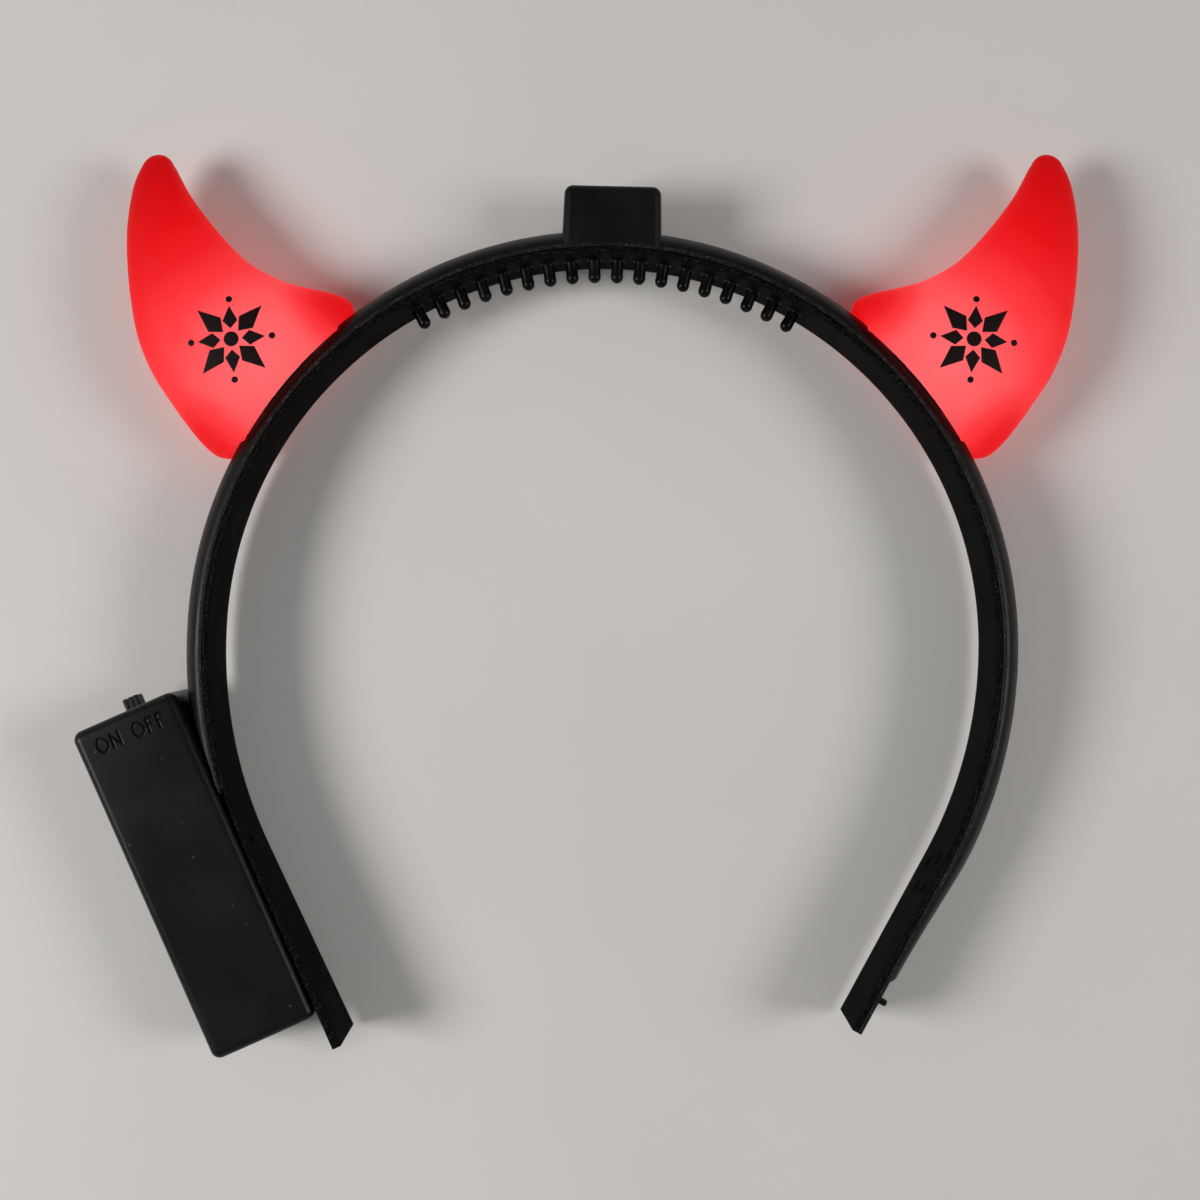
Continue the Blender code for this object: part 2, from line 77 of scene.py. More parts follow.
def gridFaces(rows, columns, wrap):
    # Quads between neighbouring rows and columns; with wrap the last column meets the first
    index = np.arange(rows * columns).reshape(rows, columns)
    if wrap:
        index = np.concatenate([index, index[:, :1]], 1)
    return np.stack([index[:-1, :-1], index[:-1, 1:], index[1:, 1:], index[1:, :-1]],
                    -1).reshape(-1, 4)


def outward(points, faces):
    # The wedges from the origin to the faces add up to a positive volume where the faces look out
    a, b, c, d = (points[faces[:, k]] for k in range(4))
    volume = np.sum(a * np.cross(b, c)) + np.sum(a * np.cross(c, d))
    return points, (faces if volume > 0 else faces[:, ::-1])


def loopBody(grid, ends="centre"):
    # A closed body through rows of loops. An end row is drawn in to its centre, or to the line
    # half way between its outer and its inner points, or it is a pole already
    if ends != "poles":
        first, last = grid[:1], grid[-1:]
        if ends == "centre":
            closers = [np.repeat(row.mean(1, keepdims=True), row.shape[1], 1)
                       for row in (first, last)]
        else:
            closers = [(row + row[:, ::-1]) / 2 for row in (first, last)]
        grid = np.concatenate([closers[0], grid, closers[1]])
    return outward(grid.reshape(-1, 3), gridFaces(len(grid), grid.shape[1], True))


def roundLines(low, high, radius, steps, inner):
    # Grid lines along one edge of a rounded box: equal turns round both corners, and the inner
    # lines between them
    turn = np.radians(np.linspace(45, 0, steps + 1))
    corner = radius * (1 - np.tan(turn))
    inner = np.asarray(inner, float)
    inner = inner[(inner > low + radius) & (inner < high - radius)]
    return np.unique(np.concatenate([low + corner, inner, high - corner]))


def roundedBox(low, high, radius, lines):
    # A point of the plain box is drawn to the core box that lies the radius inside, and pushed
    # out from there by the radius
    low, high = np.array(low, float), np.array(high, float)
    allPoints = []
    allFaces = []
    count = 0
    for axis in range(3):
        a, b = [k for k in range(3) if k != axis]
        first, second = np.meshgrid(lines[a], lines[b], indexing="ij")
        for end in (0, 1):
            side = np.empty(first.shape + (3,))
            side[..., a] = first
            side[..., b] = second
            side[..., axis] = (low, high)[end][axis]
            core = np.clip(side, low + radius, high - radius)
            away = side - core
            side = core + radius * away / np.linalg.norm(away, axis=-1, keepdims=True)
            faces = gridFaces(*first.shape, False) + count
            allFaces.append(faces if (axis != 1) == (end == 0) else faces[:, ::-1])
            allPoints.append(side.reshape(-1, 3))
            count += first.size
    return outward(np.concatenate(allPoints), np.concatenate(allFaces))


def newPiece(name, bodies, material, body, replaced=(), crease=sharpFrom):
    # Joins bodies given in the band's axes, welds equal points, and drops the sides that collapse
    points = np.concatenate([p for p, f in bodies])
    starts = np.cumsum([0] + [len(p) for p, f in bodies[:-1]])
    faces = np.concatenate([f + start for (p, f), start in zip(bodies, starts)])
    points = points * mm + arcCentre
    keys = np.round(points / weldDistance).astype(np.int64)
    _, first, inverse = np.unique(keys, axis=0, return_index=True, return_inverse=True)
    points = points[first]
    faces = inverse.reshape(-1)[faces]
    kept = faces != np.roll(faces, 1, 1)
    corners = kept.sum(1)
    quads = faces[corners == 4]
    triangles = faces[corners == 3][kept[corners == 3]].reshape(-1, 3)
    mesh = bpy.data.meshes.new(name)
    mesh.from_pydata(points.tolist(), [], quads.tolist() + triangles.tolist())
    mesh.shade_smooth()
    mesh.set_sharp_from_angle(angle=np.radians(crease))
    mesh.materials.append(material)
    piece = bpy.data.objects.new(name, mesh)
    bpy.context.scene.collection.objects.link(piece)
    if body:
        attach(piece, body)
    if replaced:
        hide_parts(*replaced)
    print(name, len(mesh.vertices), "points")
    return piece


def settle(piece):
    # The modifiers' result becomes the piece's own mesh
    graph = bpy.context.evaluated_depsgraph_get()
    mesh = bpy.data.meshes.new_from_object(piece.evaluated_get(graph))
    piece.modifiers.clear()
    piece.data = mesh
    return piece


# Materials

# the last two settings give the patches of the lighter band edges, partly wear and partly a
# painted highlight
plastic = {"ior": 1.53, "cloudLow": 0.3, "cloudHigh": 0.7, "smoother": 0.05, "rougher": 0.07,
           "rubAndHighlightFrom": 0.52, "rubAndHighlightTo": 0.64}


def addNode(tree, kind, links=None, **settings):
    node = tree.nodes.new("ShaderNode" + kind)
    for name, value in settings.items():
        setattr(node, name, value)
    for key, value in (links or {}).items():
        if isinstance(value, bpy.types.NodeSocket):
            tree.links.new(value, node.inputs[key])
        else:
            node.inputs[key].default_value = value
    return node


def newMaterial(name, **sockets):
    material = bpy.data.materials.new(name)
    material.use_nodes = True
    tree = material.node_tree
    shader = tree.nodes["Principled BSDF"]
    for socket, value in sockets.items():
        shader.inputs[socket.replace("_", " ")].default_value = value
    return material, tree, shader


def mouldedPlastic(name, look):
    # Injection moulded ABS: a satin black skin with a faint cloudiness in its gloss, the fine
    # grain of the mould, stray dust, and edges painted a little lighter, partly wear and partly a
    # painted highlight
    material, tree, shader = newMaterial(name, IOR=plastic["ior"], Roughness=look["roughness"],
                                         Specular_IOR_Level=look["gloss"])
    place = addNode(tree, "TexCoord").outputs["Object"]
    cloud = addNode(tree, "TexNoise", {"Vector": place, "Scale": 1 / (look["cloudSize"] * mm),
                                       "Detail": 3.0}).outputs["Fac"]
    tone = addNode(tree, "ValToRGB", {"Fac": cloud})
    places = (plastic["cloudLow"], plastic["cloudHigh"])
    for stop, position, shade in zip(tone.color_ramp.elements, places, ("dark", "light")):
        stop.position = position
        stop.color = linear(look[shade])
    colour = tone.outputs["Color"]
    # dust: a few dots in widely spaced cells
    cells = addNode(tree, "TexVoronoi", {"Vector": place, "Scale": 1 / (look["dustSpacing"] * mm)})
    dots = addNode(tree, "MapRange", {
        "Value": cells.outputs["Distance"],
        "From Min": look["dustSize"] / look["dustSpacing"], "From Max": 0.0,
        "To Min": 0.0, "To Max": look["dustAmount"]}).outputs["Result"]
    colour = addNode(tree, "Mix", {"Factor": dots, 6: colour, 7: linear(look["dust"])},
                     data_type="RGBA").outputs[2]
    if look.get("rim"):
        # wear and painted highlight: a lighter colour on only the outermost tenths of a millimetre
        # of the band's two flat edges
        height = addNode(tree, "SeparateXYZ", {"Vector": place}).outputs["Z"]
        middle = addNode(tree, "Math", {0: height, 1: float(arcCentre[2])}, operation="SUBTRACT")
        away = addNode(tree, "Math", {0: middle.outputs[0]}, operation="ABSOLUTE").outputs[0]
        edge = addNode(tree, "MapRange", {
            "Value": away, "From Min": look["rimFrom"] * mm, "From Max": look["rim"] * mm})
        patchNoise = addNode(tree, "TexNoise", {"Vector": place, "Scale": 1 / (look["rubAndHighlightSize"] * mm),
                                          "Detail": 4.0, "Roughness": 0.7}).outputs["Fac"]
        patch = addNode(tree, "MapRange", {"Value": patchNoise, "From Min": plastic["rubAndHighlightFrom"],
                                           "From Max": plastic["rubAndHighlightTo"]})
        wornAndHighlight = addNode(tree, "Math", {0: edge.outputs["Result"], 1: patch.outputs["Result"]},
                       operation="MULTIPLY").outputs[0]
        colour = addNode(tree, "Mix", {"Factor": wornAndHighlight, 6: colour, 7: linear(look["rubAndHighlight"])},
                         data_type="RGBA").outputs[2]
    tree.links.new(colour, shader.inputs["Base Color"])
    gloss = addNode(tree, "MapRange", {
        "Value": cloud, "From Min": plastic["cloudLow"], "From Max": plastic["cloudHigh"],
        "To Min": look["roughness"] - plastic["smoother"],
        "To Max": look["roughness"] + plastic["rougher"]})
    tree.links.new(gloss.outputs["Result"], shader.inputs["Roughness"])
    grain = addNode(tree, "TexNoise", {"Vector": place, "Scale": 1 / (look["grainSize"] * mm),
                                       "Detail": 2.0}).outputs["Fac"]
    bump = addNode(tree, "Bump", {"Height": grain, "Distance": look["grainHeight"] * mm,
                                  "Strength": 1.0})
    tree.links.new(bump.outputs["Normal"], shader.inputs["Normal"])
    return material


# each rub colour below lightens the band's flat edges: partly wear, partly a painted highlight
bandPlastic = mouldedPlastic("satinMouldedAbs", {
    "dark": "#0c0b0b", "light": "#121111", "roughness": 0.38, "gloss": 0.15, "cloudSize": 9.0,
    "grainSize": 0.5, "grainHeight": 0.006,
    "dust": "#5b5856", "dustSize": 0.17, "dustSpacing": 4.0, "dustAmount": 0.8,
    "rim": 7.5, "rimFrom": 7.4, "rubAndHighlight": "#45413e", "rubAndHighlightSize": 0.4})
stripPlastic = mouldedPlastic("mattMouldedAbs", {
    "dark": "#060505", "light": "#0a0909", "roughness": 0.62, "gloss": 0.02, "cloudSize": 9.0,
    "grainSize": 0.5, "grainHeight": 0.006,
    "dust": "#3b3836", "dustSize": 0.16, "dustSpacing": 8.0, "dustAmount": 0.6,
    "rim": 7.5, "rimFrom": 7.36, "rubAndHighlight": "#2e2b2a", "rubAndHighlightSize": 0.5})
pegPlastic = mouldedPlastic("glossyMouldedAbs", {
    "dark": "#0a0909", "light": "#0e0d0d", "roughness": 0.27, "gloss": 0.11, "cloudSize": 5.0,
    "grainSize": 0.5, "grainHeight": 0.002,
    "dust": "#3b3836", "dustSize": 0.12, "dustSpacing": 8.0, "dustAmount": 0.5})
boxPlastic = mouldedPlastic("fineMattMouldedAbs", {
    "dark": "#0e0e0e", "light": "#121212", "roughness": 0.32, "gloss": 0.17, "cloudSize": 14.0,
    "grainSize": 0.4, "grainHeight": 0.010,   # real grain is about 0.1 mm, too fine to show
    "dust": "#7a7876", "dustSize": 0.19, "dustSpacing": 3.4, "dustAmount": 0.9})
knobPlastic = mouldedPlastic("greyMouldedAbs", {
    "dark": "#181716", "light": "#211f1e", "roughness": 0.50, "gloss": 0.25, "cloudSize": 3.0,
    "grainSize": 0.3, "grainHeight": 0.008,
    "dust": "#6a6866", "dustSize": 0.12, "dustSpacing": 3.0, "dustAmount": 0.5})


# Band path and the pieces that follow it

band = {
    "crownRadius": 74.1, "halfDepth": 7.5, "stripWall": 0.8, "stripEdge": 0.2, "seam": 0.07,
    "tipWall": 1.75, "lapFrom": 2.0, "lapLength": 4.0,
    "flangeIn": 1.1, "flangeOut": 1.9, "flangeEdge": 0.22, "domeHalf": 6.5, "domeRise": 3.6,
    "domeWall": 1.2, "roundness": 1.2, "domeEndToTip": 12.0, "domeEndSlope": 1.6,
    "domeTaper": 30.0, "domeEndRise": 2.2, "channelEnd": 0.6, "shellEndOnFlare": 13.0,
    "step": 1.0, "archSteps": 48, "blockSunk": 0.15,
    "left": {"crownTurn": 85.0, "flareRadius": 89.1, "flareTurn": 30.1, "straight": 39.3},
    "right": {"crownTurn": 90.0, "flareRadius": 85.0, "flareTurn": 28.5, "straight": 35.5},
    "stubToTip": 7.2, "stubSize": 1.2, "stubReach": 1.6, "stubUp": 6.2, "stubEdge": 0.35,
    "stubSunk": 0.3,
}


def legLength(leg):
    # Crown arc, flare arc and straight end added up
    crown = band["crownRadius"] * np.radians(leg["crownTurn"])
    return crown + leg["flareRadius"] * np.radians(leg["flareTurn"]) + leg["straight"]


def bandPath(s):
    # Point on the strip's inner face at distance s from the crown, negative to the left, and the
    # way out from it: a crown arc, then a wider arc, then a straight
    s = np.asarray(s, float)
    side = np.where(s < 0, -1.0, 1.0)
    leg = {key: np.where(s < 0, band["left"][key], band["right"][key]) for key in band["left"]}
    radius = band["crownRadius"]
    turn = np.minimum(abs(s) / radius, np.radians(leg["crownTurn"]))
    flare = np.minimum((abs(s) - radius * turn) / leg["flareRadius"],
                       np.radians(leg["flareTurn"]))
    rest = abs(s) - radius * turn - leg["flareRadius"] * flare
    end = turn + flare
    x = radius * np.sin(turn) + leg["flareRadius"] * (np.sin(end) - np.sin(turn))
    y = radius * np.cos(turn) + leg["flareRadius"] * (np.cos(end) - np.cos(turn))
    point = np.stack([side * (x + rest * np.cos(end)), y - rest * np.sin(end)], -1)
    return point, np.stack([side * np.sin(end), np.cos(end)], -1)


def alongBand(s, out, up):
    # A section (out from the strip's inner face, up through the width) carried along the path
    point, away = bandPath(s)
    flat = point[:, None, :] + away[:, None, :] * out[..., None]
    return np.concatenate([flat, np.broadcast_to(up, out.shape)[..., None]], -1)


def arc(middle, radius, start, end, steps=4):
    turn = np.radians(np.linspace(start, end, steps + 1))
    return middle[0] + radius * np.cos(turn), middle[1] + radius * np.sin(turn)


def domeRise(s):
    # Full height over most of the band; it sinks towards the right leg's end and stops short
    toEnd = legLength(band["right"]) - band["domeEndToTip"] - s
    taper = smooth(toEnd / band["domeTaper"])
    rise = band["domeEndRise"] + (band["domeRise"] - band["domeEndRise"]) * taper
    return rise * np.sqrt(smooth(1 + toEnd / band["domeEndSlope"]))


def arch(base, rise, half, steps):
    # Round arch: out is the base plus the rise times a power of the cosine, up is the sine
    turn = np.linspace(-np.pi / 2, np.pi / 2, steps + 1)
    height = np.maximum(np.cos(turn), 0.0) ** band["roundness"]
    return base + rise[:, None] * height, half * np.sin(turn)


def buildOuterBand():
    # Domed shell, open to the inside, with two flat flanges that lie over the inner strip
    tip = legLength(band["right"])
    start = band["left"]["straight"] + band["shellEndOnFlare"] - legLength(band["left"])
    domeEnd = tip - band["domeEndToTip"]
    s = np.unique(np.concatenate([
        np.arange(start, tip, band["step"]), [tip],
        np.linspace(domeEnd - band["step"], domeEnd + band["domeEndSlope"], 16)]))
    half, edge = band["halfDepth"], band["flangeEdge"]
    low, high = band["flangeIn"], band["flangeOut"]
    rise = domeRise(s)
    domeOut, domeUp = arch(high, rise, band["domeHalf"], band["archSteps"])
    inCorner = arc((low + edge, half - edge), edge, 180, 90)
    outCorner = arc((high - edge, half - edge), edge, 90, 0)
    cornerOut = np.concatenate([inCorner[0], outCorner[0]])
    cornerUp = np.concatenate([inCorner[1], outCorner[1]])
    flat = np.ones((len(s), 1))
    outerOut = np.concatenate([flat * cornerOut, domeOut, flat * cornerOut[::-1]], 1)
    outerUp = np.concatenate([-cornerUp, domeUp, cornerUp[::-1]])
    inRise = np.maximum(high - low + rise - band["domeWall"], 0.0)
    inRise = inRise * smooth((domeEnd - band["domeWall"] - s) / band["channelEnd"])
    inHalf = band["domeHalf"] - band["domeWall"]
    inOut, inUp = arch(low, inRise, inHalf, band["archSteps"])
    ledge = np.linspace(edge - half, -inHalf - 0.01, len(cornerUp))
    innerOut = np.concatenate([flat * (low + 0 * ledge), inOut, flat * (low + 0 * ledge)], 1)
    innerUp = np.concatenate([ledge, inUp, -ledge[::-1]])
    outer = besideBox(alongBand(s, outerOut, outerUp), battery["clearance"])
    inner = besideBox(alongBand(s, innerOut, innerUp), 2 * battery["clearance"])
    shell = loopBody(np.concatenate([outer, inner[:, ::-1]], 1), "middle")
    return newPiece("outerBand", [shell, nearTipNub(tip, low, high)], bandPlastic, "headband",
                    ["outer_band"])


def nearTipNub(tip, low, high):
    # The small nub on the outside near the right tip
    point, away = bandPath([tip - band["stubToTip"]])
    half, sunk, edge = band["stubSize"] / 2, band["stubSunk"], band["stubEdge"]
    end = high - low + band["stubReach"]
    lines = [roundLines(-half, half, edge, 4, []), roundLines(-sunk, end, edge, 4, []),
             roundLines(-half, half, edge, 4, [])]
    nub, faces = roundedBox((-half, -sunk, -half), (half, end, half), edge, lines)
    nub = turned(nub + (0, 0, band["stubUp"]), -np.degrees(np.arctan2(away[0, 0], away[0, 1])))
    nub[:, :2] += point[0] + away[0] * low
    return nub, faces


def besideBox(points, clearance):
    # Where the shell passes the battery box, it stops at the box's side
    flat = points[..., :2] - boxOrigin[:2]
    across = flat @ boxAcross[:2]
    up = flat @ boxUp[:2]
    push = np.where((up < battery["high"][1] + clearance) & (up > 0),
                    np.maximum(clearance - across, 0.0), 0.0)
    return np.concatenate([points[..., :2] + push[..., None] * boxAcross[:2], points[..., 2:]], -1)


lampBlock = {"topRadius": 86.9, "width": 15.0, "depth": 9.6, "edge": 1.6, "taper": 0.0}


def bandBlock(name, block, turn):
    # Rounded block standing on the dome, a little wider at its foot than at its top
    foot = band["crownRadius"] + band["flangeIn"] + band["blockSunk"]
    half = np.array([block["width"] / 2, block["depth"] / 2])
    top = block["topRadius"]
    radius = block["edge"]
    below = foot - radius     # the round at the foot is folded flat, which leaves it square
    lines = [roundLines(-half[0], half[0], radius, 6, np.linspace(-half[0], half[0], 13)),
             roundLines(below, top, radius, 6, np.linspace(foot, top, 25)),
             roundLines(-half[1], half[1], radius, 6, np.linspace(-half[1], half[1], 13))]
    points, faces = roundedBox((-half[0], below, -half[1]), (half[0], top, half[1]), radius,
                               lines)
    points[:, 1] = np.maximum(points[:, 1], foot)
    grown = block["taper"] * (top - points[:, 1]) / (top - foot)
    points[:, 0] *= 1 + grown / half[0]
    return newPiece(name, [(turned(points, turn), faces)], bandPlastic, "headband",
                    ["outer_band"])


def buildInnerBand():
    # Flat strip from tip to tip, with a thin rounded edge. It almost fills the room to the
    # flanges, and beside the battery box it thickens towards the tip, as the room there does
    s = np.arange(-legLength(band["left"]), legLength(band["right"]), band["step"])
    s = np.append(s, legLength(band["right"]))
    edge, wall, half = band["stripEdge"], band["flangeIn"] - band["seam"], band["halfDepth"]
    straight = band["left"]["straight"]
    share = np.clip((straight - legLength(band["left"]) - s) / straight, 0, 1)
    grown = share * (band["tipWall"] - wall)
    lapped = smooth((straight + band["shellEndOnFlare"] + band["lapFrom"]
                     - legLength(band["left"]) - s) / band["lapLength"])
    grown = grown - lapped * (1 - share) * (wall - band["stripWall"])
    side = np.linspace(edge - half, half - edge, 9)[1:-1]
    corners = [arc((wall - edge, half - edge), edge, 0, 90),
               arc((edge, half - edge), edge, 90, 180), (0 * side, side[::-1]),
               arc((edge, edge - half), edge, 180, 270),
               arc((wall - edge, edge - half), edge, 270, 360), (0 * side + wall, side)]
    out = np.concatenate([c[0] for c in corners])
    up = np.concatenate([c[1] for c in corners])
    outer = smooth((out - edge) / (wall - 2 * edge))
    strip = loopBody(alongBand(s, out + grown[:, None] * outer, up))
    marks = [snapMark(distance, height) for distance, height in catch["places"]]
    return newPiece("innerBand", [strip, *marks], stripPlastic, "headband",
                    ["inner_band"])


def lathe(radius, height, columns):
    # A profile turned about its axis: rows of circles, with a pole at each end
    turn = np.linspace(0, 2 * np.pi, columns, endpoint=False)
    rows = [radius[:, None] * np.cos(turn), radius[:, None] * np.sin(turn),
            height[:, None] + 0 * turn]
    return loopBody(np.stack(rows, -1), "poles")


# The little catches on the strip's inner face, placed by (distance from the crown, height)
catch = {"radius": 0.75, "rise": 0.35, "sunk": 0.3, "longer": 1.5, "columns": 20,
         "places": ((-3.0, 3.4), (-154.0, 2.6), (158.5, 3.0), (160.2, -2.2), (164.6, 3.4),
                    (165.4, -1.6))}


def snapMark(distance, height):
    # A low oval bead whose rise follows a cosine
    turn = np.linspace(0, np.pi / 2, 7)
    radius = np.append(catch["radius"] * np.sin(turn), [catch["radius"], 0.0])
    rise = np.append(catch["rise"] * np.cos(turn), [-catch["sunk"], -catch["sunk"]])
    points, faces = lathe(radius, rise, catch["columns"])
    points[:, 0] *= catch["longer"]
    point, away = bandPath([distance])
    along = np.array([away[0, 1], -away[0, 0]])
    flat = point[0] + points[:, :1] * along - points[:, 2:] * away[0]
    return outward(np.concatenate([flat, points[:, 1:2] + height], 1), faces)


comb = {"count": 18, "pitch": 3.45, "turn": 0.5, "radius": 1.2, "length": 4.3, "fillet": 0.35,
        "waist": 0.06, "sunk": 0.3, "columns": 32}


def buildComb():
    # Round pegs with a domed tip and a flared root, in a row on the strip's inside
    r, fillet = comb["radius"], comb["fillet"]
    tip = np.linspace(0, np.pi / 2, 10)
    shank = np.linspace(comb["length"] - r, fillet, 8)[1:-1]
    root = np.linspace(0, np.pi / 2, 8)
    narrow = comb["waist"] * np.sin(np.pi * (shank - fillet) / (comb["length"] - r - fillet))
    radius = np.concatenate([r * np.sin(tip), r - narrow, r + fillet * (1 - np.cos(root)),
                             [r + fillet, 0.0]])
    height = np.concatenate([comb["length"] - r + r * np.cos(tip), shank,
                             fillet * (1 - np.sin(root)), [-comb["sunk"], -comb["sunk"]]])
    radius[0] = 0.0
    points, faces = lathe(radius, height, comb["columns"])
    # the peg's axis runs in from the strip's inner face
    points = np.stack([points[:, 0], band["crownRadius"] - points[:, 2], points[:, 1]], -1)
    turns = (np.arange(comb["count"]) - (comb["count"] - 1) / 2) * comb["pitch"] + comb["turn"]
    pegs = [outward(turned(points, -turn), faces) for turn in turns]
    return newPiece("combPegs", pegs, pegPlastic, "headband", ["inner_band"])


# Battery box, in its own axes: across to the band, up towards the crown, and Z as the band's

battery = {
    "low": (-21.0, 6.8, -7.7), "high": (0.0, 73.8, 7.8), "edge": 1.8, "wall": 1.6,
    "clearance": 0.3, "middleUp": 0.05, "lidWall": 1.6, "lidEdge": 0.35, "cutPast": 1.0,
    "cutEdge": 0.0001,
    "webFrom": 36.8, "webTo": 72.8, "webHalf": 2.5, "webEdge": 0.4, "webRoot": -0.8,
    "webLeast": -0.4,
    "textAcross": (-17.6, -2.6), "textUp": (67.9, 71.3), "textStep": 0.1, "plainTo": 67.5,
    "letterLine": 69.6, "letterHeight": 2.7, "strokeHalf": 0.17, "strokeDepth": 0.35,
    "strokeBeyond": 0.06, "strokeSlope": 0.14, "roundHalf": 1.05, "roundScale": 1.15,
    "letters": (("O", -15.9), ("N", -13.2), ("O", -8.6), ("F", -6.1), ("F", -4.0)),
    "slotFrom": -13.9, "slotTo": -7.8, "slotHalf": 2.3,
}
# the switch slides across the box, away from the band
boxAcross = -np.array([*frame["joints"][0]["axis"][:2], 0.0])
boxUp = np.array([-boxAcross[1], boxAcross[0], 0.0])
boxMiddle = (np.array(battery["low"]) + np.array(battery["high"])) / 2
boxOrigin = (np.array(boxFront["pos_m"]) - arcCentre) / mm
boxOrigin = boxOrigin - boxMiddle[0] * boxAcross - boxMiddle[1] * boxUp
boxOrigin[2] = 0.0


def fromBox(points):
    flat = boxOrigin + points[:, :1] * boxAcross + points[:, 1:2] * boxUp
    return flat + points[:, 2:] * (0, 0, 1)


def strokeDistance(x, y, ends):
    # Distance from the line between two ends: the point on it is the nearest share, 0 to 1
    (x0, y0), (x1, y1) = ends
    share = ((x - x0) * (x1 - x0) + (y - y0) * (y1 - y0)) / ((x1 - x0) ** 2 + (y1 - y0) ** 2)
    share = np.clip(share, 0, 1)
    return np.hypot(x - x0 - share * (x1 - x0), y - y0 - share * (y1 - y0))


def letterDepth(x, y):
    # Sunk strokes: full depth along each stroke's middle, running out over a tenth of a millimetre
    tall = battery["letterHeight"] / 2
    strokes = {"N": (((-0.8, -tall), (-0.8, tall)), ((-0.8, tall), (0.8, -tall)),
                     ((0.8, -tall), (0.8, tall))),
               "F": (((-0.6, -tall), (-0.6, tall)), ((-0.6, tall), (0.55, tall)),
                     ((-0.6, 0.1), (0.4, 0.1)))}
    nearest = np.full(x.shape, 9.0)
    for letter, middle in battery["letters"]:
        u, v = x - middle, y - battery["letterLine"]
        if letter == "O":
            ring = abs(np.hypot(u / battery["roundHalf"], v / tall) - 1) * battery["roundScale"]
            nearest = np.minimum(nearest, ring)
        for ends in strokes.get(letter, ()):
            nearest = np.minimum(nearest, strokeDistance(u, v, ends))
    reach = battery["strokeHalf"] + battery["strokeBeyond"]
    return battery["strokeDepth"] * smooth((reach - nearest) / battery["strokeSlope"])


def carve(piece, low, high):
    # Cuts a plain box, given in the battery box's axes, out of a piece
    low, high = np.array(low, float), np.array(high, float)
    lines = [np.array([low[k], high[k]]) for k in range(3)]
    points, faces = roundedBox(low, high, battery["cutEdge"], lines)
    cutter = newPiece("cutter", [(fromBox(points), faces)], boxPlastic, None)
    cut = piece.modifiers.new("cut", "BOOLEAN")
    cut.operation = "DIFFERENCE"
    cut.solver = "EXACT"
    cut.object = cutter
    settle(piece)
    bpy.data.objects.remove(cutter)


def buildBatteryBox():
    # Rounded case, open at the back for its lid, with ON and OFF sunk into the front
    low, high = np.array(battery["low"]), np.array(battery["high"])
    edge = battery["edge"]
    below = low - (0, 0, edge)     # the round at the back is folded flat, which leaves it square
    textX = np.arange(*battery["textAcross"], battery["textStep"])
    textY = np.arange(*battery["textUp"], battery["textStep"])
    lines = [roundLines(low[0], high[0], edge, 7, textX),
             roundLines(low[1], high[1], edge, 7,
                        np.concatenate([np.linspace(low[1], battery["plainTo"], 24), textY])),
             roundLines(below[2], high[2], edge, 7, np.linspace(low[2], high[2], 9))]
    points, faces = roundedBox(below, high, edge, lines)
    points[:, 2] = np.maximum(points[:, 2], low[2])
    front = points[:, 2] > high[2] - 0.001
    points[front, 2] -= letterDepth(points[front, 0], points[front, 1])
    box = newPiece("batteryBox", [outward(fromBox(points), faces), buildWeb()], boxPlastic,
                   "headband", ["battery_box"])
    wall, past = battery["wall"], battery["cutPast"]
    carve(box, (low[0] + wall, low[1] + wall, low[2] - past), high - wall)
    middle, slotHalf = battery["middleUp"], battery["slotHalf"]
    carve(box, (battery["slotFrom"], high[1] - 2 * wall, middle - slotHalf),
          (battery["slotTo"], high[1] + past, middle + slotHalf))
    box.data.set_sharp_from_angle(angle=np.radians(sharpFrom))
    return box


def buildWeb():
    # Slab from the box's side to the dome, which it follows at the gap between pieces
    y = np.linspace(battery["webFrom"], battery["webTo"], 61)
    s = np.linspace(-legLength(band["left"]), -band["crownRadius"], 600)
    point, away = bandPath(s)
    gapOut = band["flangeOut"] + band["domeRise"] + battery["clearance"]
    flat = point + away * gapOut - boxOrigin[:2]
    up, across = flat @ boxUp[:2], flat @ boxAcross[:2]
    reach = np.maximum(np.interp(y, up, across), battery["webLeast"])
    half, edge = battery["webHalf"], battery["webEdge"]
    corner = np.radians(np.linspace(0, 90, 5))
    height = half - edge + edge * np.sin(corner)
    height = np.concatenate([height, -height[::-1]])
    inset = edge * (1 - np.cos(corner))
    inset = np.concatenate([inset, inset[::-1]])
    right = np.stack([reach[:, None] - inset, y[:, None] + 0 * height,
                      battery["middleUp"] + height + 0 * y[:, None]], -1)
    left = right.copy()[:, ::-1]
    left[..., 0] = battery["webRoot"]
    loops = np.concatenate([right, left], 1)
    return loopBody(fromBox(loops.reshape(-1, 3)).reshape(loops.shape))


def buildLid():
    # Plain lid, flush in the back of the case
    inset = battery["wall"] + battery["clearance"]
    low = np.array([battery["low"][0] + inset, battery["low"][1] + inset, battery["low"][2]])
    high = np.array([-inset, battery["high"][1] - inset, battery["low"][2] + battery["lidWall"]])
    edge = battery["lidEdge"]
    lines = [roundLines(low[k], high[k], edge, 4, np.linspace(low[k], high[k], 12))
             for k in range(3)]
    points, faces = roundedBox(low, high, edge, lines)
    return newPiece("batteryLid", [outward(fromBox(points), faces)], boxPlastic, "headband",
                    ["battery_lid"])


knob = {"middle": -9.6, "width": 3.0, "depth": 4.0, "reach": 2.4, "edge": 0.35, "foot": 7.0,
        "footWall": 1.2, "footEdge": 0.2, "grooves": (-0.55, 0.55), "grooveHalf": 0.16,
        "grooveDepth": 0.18, "grooveSoft": 1.6,
        # each groove runs in over these stretches: up from the case, out from the middle, and
        # under the end, as (start, length)
        "grooveUp": (0.2, 0.4), "grooveOut": (1.0, 0.8), "grooveEnd": (-0.4, 0.3)}


def runIn(place, stretch):
    return smooth((place - stretch[0]) / stretch[1])


